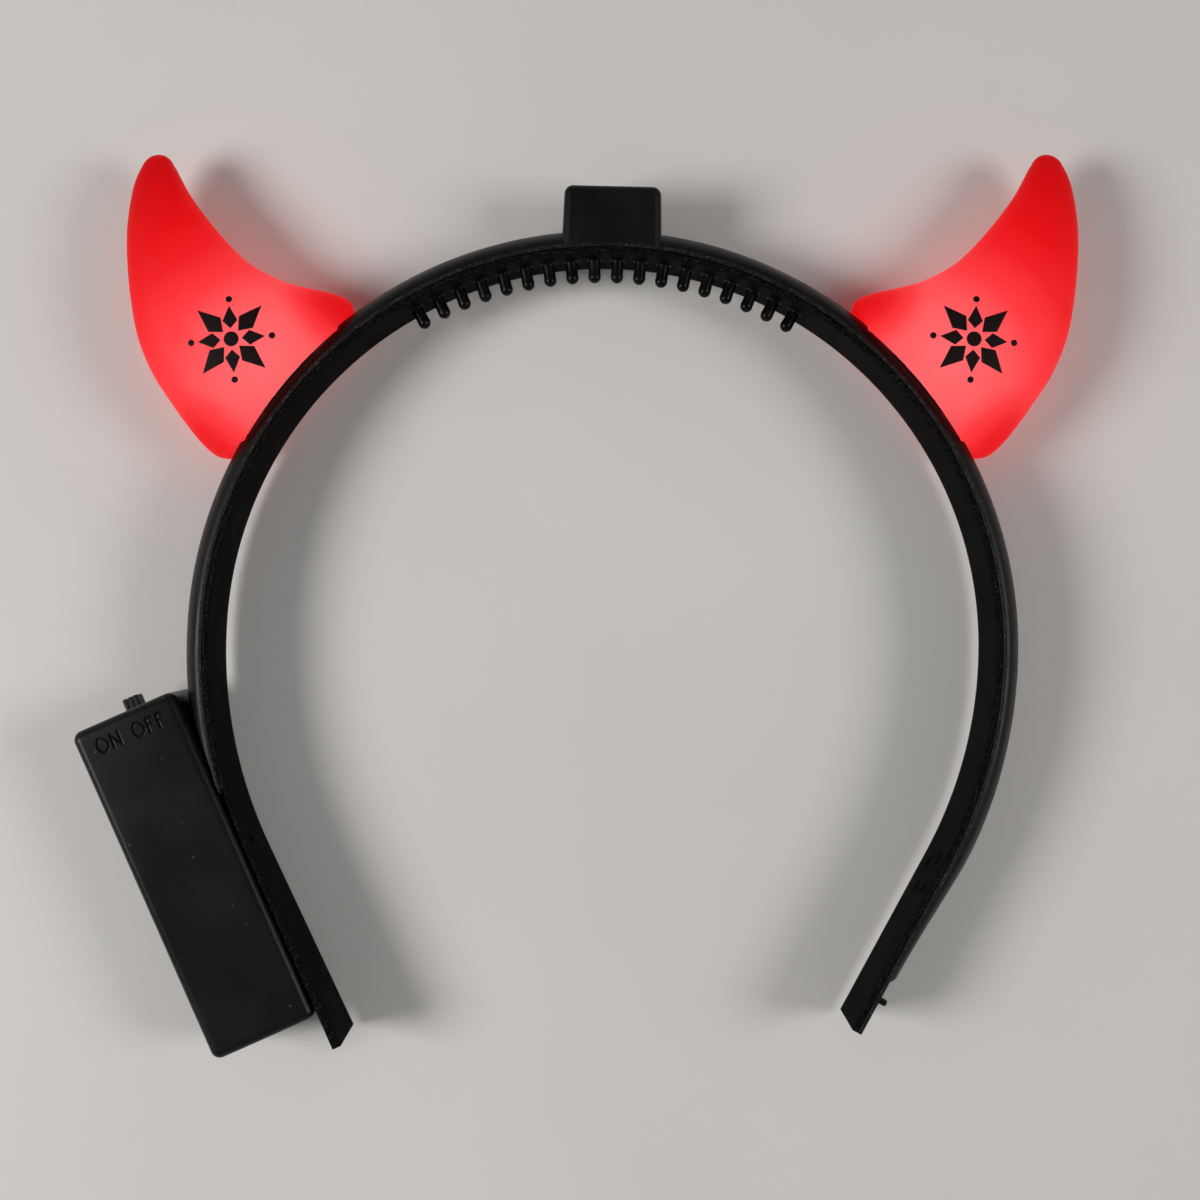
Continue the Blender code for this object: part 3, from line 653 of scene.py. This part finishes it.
def buildKnob():
    # Slide knob with two grip grooves over its end, and its foot inside the case
    top = battery["high"][1]
    footTop = top - battery["wall"] - battery["clearance"]
    half = np.array([knob["width"], knob["depth"]]) / 2
    edge = knob["edge"]
    low = (-half[0], footTop - knob["footWall"] / 2, -half[1])
    high = (half[0], top + knob["reach"], half[1])
    lines = [roundLines(low[0], high[0], edge, 5, np.linspace(low[0], high[0], 61)),
             roundLines(low[1], high[1], edge, 5, np.linspace(low[1], high[1], 31)),
             roundLines(low[2], high[2], edge, 5, np.linspace(low[2], high[2], 9))]
    cap, capFaces = roundedBox(low, high, edge, lines)
    groove = sum(smooth(knob["grooveSoft"] - abs(cap[:, 0] - x) / knob["grooveHalf"])
                 for x in knob["grooves"])
    groove = knob["grooveDepth"] * groove * runIn(cap[:, 1] - top, knob["grooveUp"])
    cap[:, 2] -= np.sign(cap[:, 2]) * groove * runIn(abs(cap[:, 2]), knob["grooveOut"])
    cap[:, 1] -= groove * runIn(cap[:, 1] - high[1], knob["grooveEnd"])
    footHalf = knob["foot"] / 2
    footLow = (-footHalf, footTop - knob["footWall"], -footHalf)
    footHigh = (footHalf, footTop, footHalf)
    edge = knob["footEdge"]
    lines = [roundLines(footLow[k], footHigh[k], edge, 3, []) for k in range(3)]
    foot, footFaces = roundedBox(footLow, footHigh, edge, lines)
    shift = np.array([knob["middle"], 0.0, battery["middleUp"]])
    bodies = [outward(fromBox(cap + shift), capFaces), outward(fromBox(foot + shift), footFaces)]
    return newPiece("switchKnob", bodies, knobPlastic, "switch", ["switch_knob"])


# Horns

horn = {
    "turn": 50.0, "rise": 47.9, "halfWidth": 19.7, "halfDepth": 9.93, "squareness": 2.4,
    "wall": 1.6, "floor": 2.1, "skirt": 1.9, "gap": 0.3, "baseEdge": 0.5,
    "tipFrom": 12.1, "tipRound": 3.7, "tipStart": 28.0, "crease": 50.0,
    "blockHalf": (7.8, 5.1), "innerFrom": 2.6, "innerTo": 9.75, "innerRows": 50, "columns": 176,
    "rows": 150, "lampUp": 4.0,
    # back across, back up, front across, front up and depth, as shares of the sizes above
    "sections": (
        (-0.840, -0.130, 0.840, -0.130, 0.92),
        (-0.930, -0.040, 0.930, -0.040, 0.96),
        (-0.995, 0.010, 0.990, 0.005, 0.99),
        (-0.995, 0.084, 0.945, 0.070, 1.00),
        (-0.955, 0.170, 0.835, 0.155, 1.00),
        (-0.898, 0.264, 0.721, 0.259, 0.97),
        (-0.792, 0.406, 0.650, 0.389, 0.92),
        (-0.624, 0.540, 0.655, 0.500, 0.85),
        (-0.406, 0.653, 0.690, 0.605, 0.77),
        (-0.142, 0.766, 0.736, 0.697, 0.66),
        (0.137, 0.866, 0.792, 0.780, 0.54),
        (0.468, 0.952, 0.857, 0.847, 0.40),
        (0.700, 0.986, 0.902, 0.893, 0.27),
        (0.855, 0.992, 0.919, 0.950, 0.12),
    ),
}
domeRadius = band["crownRadius"] + band["flangeOut"] + band["domeRise"]


def alongTable(table, t):
    # A smooth curve through the table's rows, whose slope at a row follows its two neighbours
    table = np.array(table)
    padded = np.vstack([2 * table[0] - table[1], table, 2 * table[-1] - table[-2]])
    row = np.clip(np.floor(t).astype(int), 0, len(table) - 2)
    f = (t - row)[..., None]
    a, b, c, d = (padded[row + k] for k in range(4))
    return 0.5 * (2 * b + (c - a) * f + (2 * a - 5 * b + 4 * c - d) * f ** 2
                  + (3 * b - a - 3 * c + d) * f ** 3)


def hornSurface(t, turn, inset=0.0, shrink=1.0):
    # An oval between the back and front outlines at row t: across and depth are powers of the
    # cosine and the sine, which squares the oval a little
    row = alongTable(horn["sections"], t)
    size = np.array([horn["halfWidth"], horn["rise"]])
    back, front = row[..., 0:2] * size, row[..., 2:4] * size
    reach = (front - back) / 2
    length = np.linalg.norm(reach, axis=-1, keepdims=True)
    reach = reach * (length - inset) / length * shrink
    power = 2 / horn["squareness"]
    across = np.sign(np.cos(turn)) * abs(np.cos(turn)) ** power
    deep = np.sign(np.sin(turn)) * abs(np.sin(turn)) ** power
    flat = (back + front) / 2 + reach * across[..., None]
    depth = (row[..., 4] * horn["halfDepth"] - inset) * shrink * deep
    return np.stack([flat[..., 0], domeRadius + flat[..., 1], depth], -1)


def seatRadius(up):
    # Underside of the horn: an arch over the dome, and a flat skirt on each side of it
    half = band["domeHalf"] + horn["gap"]
    share = np.sqrt(1 - np.clip(up / half, -1, 1) ** 2) ** band["roundness"]
    return domeRadius - horn["skirt"] + (horn["skirt"] + horn["gap"]) * share


def seatHeight(points):
    return np.hypot(points[..., 0], points[..., 1]) - seatRadius(points[..., 2])


def rowAbove(turn, height):
    # The row at which each line up the horn leaves the seat by a height, read off a fine table
    fine = np.linspace(0, 9, 901)
    above = seatHeight(hornSurface(fine[:, None] + 0 * turn, turn + 0 * fine[:, None])) - height
    last = len(fine) - 1 - np.argmax(above[::-1] <= 0, 0)
    columns = np.arange(len(turn))
    under, over = above[last, columns], above[last + 1, columns]
    return fine[last] + (fine[1] - fine[0]) * under / (under - over)


def hornGrid():
    # One closed skin: tip, outside, rounded foot, underside, slot, inner floor and inner wall
    turn = np.linspace(0, 2 * np.pi, horn["columns"], endpoint=False)
    last = horn["tipFrom"]
    edge = horn["baseEdge"]
    foot, start = rowAbove(turn, 0.0), rowAbove(turn, edge)
    share = np.linspace(1, 0, horn["rows"])[:, None]
    t = start + (last - start) * share
    outside = hornSurface(t, turn + 0 * t)
    # tip: rings that shrink as a cosine while they move out as a sine
    bend = np.radians(np.linspace(90, horn["tipStart"] + 4, 14))[:, None]
    began = np.radians(horn["tipStart"])
    ring = hornSurface(last + 0 * turn, turn)
    middle = ring.mean(0)
    ahead = middle - hornSurface(last - 0.5 + 0 * turn, turn).mean(0)
    ahead = ahead / np.linalg.norm(ahead)
    shrink = np.cos(bend)[..., None] / np.cos(began)
    rise = horn["tipRound"] * (np.sin(bend)[..., None] - np.sin(began))
    tip = middle + (ring - middle) * shrink + ahead * rise
    # foot: a quarter round from the outside to the underside
    bottom = hornSurface(foot, turn)
    down = bottom - outside[-1]
    side = np.roll(outside[-1], -1, 0) - np.roll(outside[-1], 1, 0)
    inward = np.cross(side, down)
    inward = inward / np.linalg.norm(inward, axis=-1, keepdims=True)
    centre = outside[-1].mean(0)
    inward = inward * np.sign(np.sum(inward * (centre - outside[-1]), -1, keepdims=True))
    bend = np.radians(np.linspace(15, 90, 6))[:, None, None]
    rounded = outside[-1] + np.sin(bend) * down + (1 - np.cos(bend)) * edge * inward
    # underside: straight in to the slot, on the seat
    square = np.maximum(abs(np.cos(turn)), abs(np.sin(turn)))
    slot = np.stack([horn["blockHalf"][0] * np.cos(turn) / square,
                     horn["blockHalf"][1] * np.sin(turn) / square], -1)
    share = np.linspace(0, 1, 16)[1:, None, None]
    flat = rounded[-1][:, ::2] * (1 - share) + slot * share
    radius = seatRadius(flat[..., 1])
    under = np.stack([flat[..., 0], np.sqrt(radius ** 2 - flat[..., 0] ** 2), flat[..., 1]], -1)
    # slot wall, inner floor and inner wall
    floor = domeRadius + horn["floor"]
    slotTop = np.stack([slot[:, 0], floor + 0 * turn, slot[:, 1]], -1)[None]
    t = np.linspace(horn["innerFrom"], horn["innerTo"], horn["innerRows"])[:, None] + 0 * turn
    inner = hornSurface(t, turn + 0 * t, horn["wall"])
    floorEdge = inner[:1].copy()
    floorEdge[..., 1] = floor
    ceiling = np.repeat(inner[-1:].mean(1, keepdims=True), len(turn), 1)
    pole = np.repeat(tip[:1].mean(1, keepdims=True), len(turn), 1)
    return np.concatenate([pole, tip[1:], outside, rounded, under, slotTop, floorEdge, inner[1:],
                           ceiling])


def onHorn(points, side):
    # From the left horn's own axes to the band's; side is -1 on the left and 1 on the right
    return turned(points * (-side, 1, 1), -side * horn["turn"])


def hornRubber(name, side):
    # Soft moulded PVC, dyed red and lit from inside: it glows pale over the lamp, through full
    # red, to a deep red at the tip, with a silky skin. Its base colour is painted paler near the
    # lamp too, a painted glow
    look = {"red": "#64060b", "paintedGlowPale": "#7c1418", "strength": 1.0, "roughness": 0.55,
            "gloss": 0.12, "near": 8.0, "far": 46.0, "veil": 0.05, "cloudSize": 7.0,
            "skinSize": 0.8, "skinHeight": 0.004,
            # painted shade at the two foot corners: a spot in the horn's own axes from the dome's
            # top, how far it reaches, how deep
            "corners": (((18.5, 1.0, 4.0), 13.0, 0.34), ((-18.5, 3.0, 4.0), 12.0, 0.24)),
            "glow": ((0.00, "#f46f73"), (0.13, "#f25c5f"), (0.27, "#f0393d"), (0.45, "#e2181d"),
                     (0.60, "#d60408"), (0.84, "#bf0002"), (1.00, "#b20002"))}
    material, tree, shader = newMaterial(name, Roughness=look["roughness"], IOR=1.41,
                                         Specular_IOR_Level=look["gloss"])
    lamp = onHorn(np.array([[0.0, domeRadius + horn["lampUp"], 0.0]]), side)[0] * mm + arcCentre
    place = addNode(tree, "TexCoord").outputs["Object"]
    away = addNode(tree, "VectorMath", {0: place, 1: lamp.tolist()},
                   operation="DISTANCE").outputs["Value"]
    cloud = addNode(tree, "TexNoise", {"Vector": place, "Scale": 1 / (look["cloudSize"] * mm),
                                       "Detail": 2.0})
    drift = addNode(tree, "Math", {0: cloud.outputs["Fac"], 1: 0.5}, operation="SUBTRACT")
    share = addNode(tree, "MapRange", {"Value": away, "From Min": look["near"] * mm,
                                       "From Max": look["far"] * mm}).outputs["Result"]
    share = addNode(tree, "Math", {0: drift.outputs[0], 1: look["veil"], 2: share},
                    operation="MULTIPLY_ADD").outputs[0]
    # painted shade: the glow and the base colour are darkened near the two corners of the foot
    for spot, reach, deep in look["corners"]:
        corner = onHorn(np.array([spot]) + (0, domeRadius, 0), side)[0] * mm + arcCentre
        nearCorner = addNode(tree, "VectorMath", {0: place, 1: corner.tolist()},
                             operation="DISTANCE").outputs["Value"]
        paintedCornerShade = addNode(tree, "MapRange", {
            "Value": nearCorner, "From Min": reach * mm, "From Max": 0.0,
            "To Min": 0.0, "To Max": deep}, interpolation_type="SMOOTHSTEP")
        share = addNode(tree, "Math", {0: share, 1: paintedCornerShade.outputs["Result"]},
                        operation="ADD").outputs[0]
    ramp = addNode(tree, "ValToRGB", {"Fac": share})
    stops = ramp.color_ramp.elements
    for position, colour in look["glow"][1:-1]:
        stops.new(position)
    for stop, (position, colour) in zip(stops, look["glow"]):
        stop.position = position
        stop.color = linear(colour)
    # painted glow: the base colour is paler near the lamp and deep red far from it, following the
    # glow
    base = addNode(tree, "Mix", {"Factor": share, 6: linear(look["paintedGlowPale"]), 7: linear(look["red"])},
                   data_type="RGBA")
    tree.links.new(base.outputs[2], shader.inputs["Base Color"])
    tree.links.new(ramp.outputs["Color"], shader.inputs["Emission Color"])
    shader.inputs["Emission Strength"].default_value = look["strength"]
    skin = addNode(tree, "TexNoise", {"Vector": place, "Scale": 1 / (look["skinSize"] * mm),
                                      "Detail": 3.0})
    bump = addNode(tree, "Bump", {"Height": skin.outputs["Fac"],
                                  "Distance": look["skinHeight"] * mm})
    tree.links.new(bump.outputs["Normal"], shader.inputs["Normal"])
    return material


star = {"across": -0.4, "up": 10.2, "longTip": 8.4, "shortTip": 6.3, "root": 2.0, "wide": 1.75,
        "widest": 0.34, "shortShare": 0.8, "disc": 1.4, "dot": 0.6, "dotAt": 7.6,
        "height": 0.05, "filled": 0.8, "dropFrom": 14.0, "inkGrain": 0.7}
padInk, inkTree, inkShader = newMaterial("padPrintedInk", Roughness=0.55, IOR=1.5,
                                         Specular_IOR_Level=0.12)
inkPlace = addNode(inkTree, "TexCoord").outputs["Object"]
inkNoise = addNode(inkTree, "TexNoise", {"Vector": inkPlace,
                                         "Scale": 1 / (star["inkGrain"] * mm)})
inkTone = addNode(inkTree, "Mix", {"Factor": inkNoise.outputs["Fac"], 6: linear("#120608"),
                                   7: linear("#1c0b0d")}, data_type="RGBA")
inkTree.links.new(inkTone.outputs[2], inkShader.inputs["Base Color"])


def printPatches():
    # A plain eight-pointed star of kites round a disc, with a dot between each two long kites
    patches = []
    s = np.unique(np.append(np.linspace(0, 1, 33), star["widest"]))[:, None]
    t = np.linspace(-1, 1, 9)
    wide = star["wide"] * np.minimum(s / star["widest"], (1 - s) / (1 - star["widest"]))
    for k in range(8):
        tip = star["longTip"] if k % 2 == 0 else star["shortTip"]
        kite = np.stack([wide * t * (1 if k % 2 == 0 else star["shortShare"]),
                         star["root"] + (tip - star["root"]) * s + 0 * t, 0 * s * t], -1)
        patches.append((turned(kite.reshape(-1, 3), 45 * k), gridFaces(len(s), len(t), False)))
    turn = np.linspace(0, 2 * np.pi, 40, endpoint=False)
    spots = [(0.0, 0.0, star["disc"])]
    spots += [(star["dotAt"] * np.cos(a), star["dotAt"] * np.sin(a), star["dot"])
              for a in np.radians(45 + 90 * np.arange(4))]
    for x, y, size in spots:
        r = np.linspace(0, size, 6)[:, None]
        spot = np.stack([x + r * np.cos(turn), y + r * np.sin(turn), 0 * r * turn], -1)
        patches.append((spot.reshape(-1, 3), gridFaces(len(r), len(turn), True)))
    return patches


def buildHorn(name, node, side):
    material = hornRubber(name + "LitSoftPvc", side)
    grid = onHorn(hornGrid(), side)
    piece = newPiece(name, [loopBody(grid, "poles")], material, "headband",
                     [node], horn["crease"])
    # the print lies on the horn's near face: flat patches dropped on it, then given a skin
    patches = []
    for points, faces in printPatches():
        points = points + (star["across"], domeRadius + star["up"], star["dropFrom"])
        points = onHorn(points, side)
        flat = points[faces]
        rises = np.sum(np.cross(flat[:, 1] - flat[:, 0], flat[:, 2] - flat[:, 0])[:, 2]
                       + np.cross(flat[:, 2] - flat[:, 0], flat[:, 3] - flat[:, 0])[:, 2]) > 0
        patches.append((points, faces if rises else faces[:, ::-1]))
    ink = newPiece(name + "Print", patches, padInk, "headband", [node])
    drop = ink.modifiers.new("drop", "SHRINKWRAP")
    drop.wrap_method = "PROJECT"
    drop.use_project_z = True
    drop.use_negative_direction = True
    drop.use_positive_direction = False
    drop.target = piece
    drop.offset = star["height"] * mm
    skin = ink.modifiers.new("skin", "SOLIDIFY")
    skin.thickness = star["filled"] * star["height"] * mm
    skin.offset = -1
    settle(ink)
    return piece


buildOuterBand()
bandBlock("crownBlock", crownBlock, crownBlock["turn"])
bandBlock("lampBlockLeft", lampBlock, horn["turn"])
bandBlock("lampBlockRight", lampBlock, -horn["turn"])
buildInnerBand()
buildComb()
print("band done")
buildBatteryBox()
buildLid()
buildKnob()
print("battery box done")
buildHorn("hornLeft", "horn_left", -1)
buildHorn("hornRight", "horn_right", 1)
print("horns done")


# Floor, light and camera

studio = {
    "flat": 0.75, "curve": 0.45, "wallTop": 1.3, "floorColour": "#dddad6",
    "mottleColour": "#cfccc8", "mottleSize": 0.12, "world": "#6c6e72",
    "worldStrength": 1.0,
    "lamps": (("key", (-0.68, -0.08, 0.58), 0.36, 5.2), ("fill", (0.70, -0.04, 0.58), 0.36, 2.8)),
}


def buildFloor():
    # A flat disc that curves up into a round wall: a profile turned about Z
    bend = np.radians(np.linspace(0, 90, 25))
    radius = np.concatenate([[0.0], np.linspace(0.02, studio["flat"], 20),
                             studio["flat"] + studio["curve"] * np.sin(bend[1:]),
                             [studio["flat"] + studio["curve"]]])
    height = np.concatenate([np.zeros(21), studio["curve"] * (1 - np.cos(bend[1:])),
                             [studio["wallTop"]]])
    turn = np.linspace(0, 2 * np.pi, 96, endpoint=False)
    grid = np.stack([radius[:, None] * np.cos(turn), radius[:, None] * np.sin(turn),
                     height[:, None] + 0 * turn], -1)
    material, tree, shader = newMaterial("paintedBoard", Roughness=0.75, IOR=1.45)
    place = addNode(tree, "TexCoord").outputs["Object"]
    mottle = addNode(tree, "TexNoise", {"Vector": place, "Scale": 1 / studio["mottleSize"],
                                        "Detail": 3.0})
    tone = addNode(tree, "Mix", {"Factor": mottle.outputs["Fac"],
                                 6: linear(studio["floorColour"]),
                                 7: linear(studio["mottleColour"])}, data_type="RGBA")
    tree.links.new(tone.outputs[2], shader.inputs["Base Color"])
    faces = gridFaces(len(radius), len(turn), True)
    floor = newPiece("floor", [((grid.reshape(-1, 3) - arcCentre) / mm, faces)], material,
                     None)


def buildLight():
    world = bpy.data.worlds.new("studio")
    world.use_nodes = True
    backdrop = world.node_tree.nodes["Background"]
    backdrop.inputs["Color"].default_value = linear(studio["world"])
    backdrop.inputs["Strength"].default_value = studio["worldStrength"]
    bpy.context.scene.world = world
    for name, place, size, power in studio["lamps"]:
        light = bpy.data.lights.new(name, "AREA")
        light.shape = "DISK"
        light.size = size
        light.energy = power
        lamp = bpy.data.objects.new(name, light)
        lamp.location = place
        lamp.rotation_mode = "QUATERNION"
        lamp.rotation_quaternion = (-Vector(place)).to_track_quat("-Z", "Y")
        bpy.context.scene.collection.objects.link(lamp)


def buildCamera():
    # Straight above the headband, as close as the photo's perspective says
    settings = {"right": -0.49, "up": 8.88, "aboveBand": 285.0, "lens": 45.63, "sensor": 36.0}
    data = bpy.data.cameras.new("camera")
    data.lens = settings["lens"]
    data.sensor_width = settings["sensor"]
    data.clip_start = 0.01
    camera = bpy.data.objects.new("camera", data)
    offset = np.array([settings["right"], settings["up"],
                       band["halfDepth"] + settings["aboveBand"]])
    camera.location = arcCentre + offset * mm
    bpy.context.scene.collection.objects.link(camera)
    bpy.context.scene.camera = camera


buildFloor()
buildLight()
buildCamera()
bpy.context.scene.view_settings.view_transform = "Standard"
print("studio done")
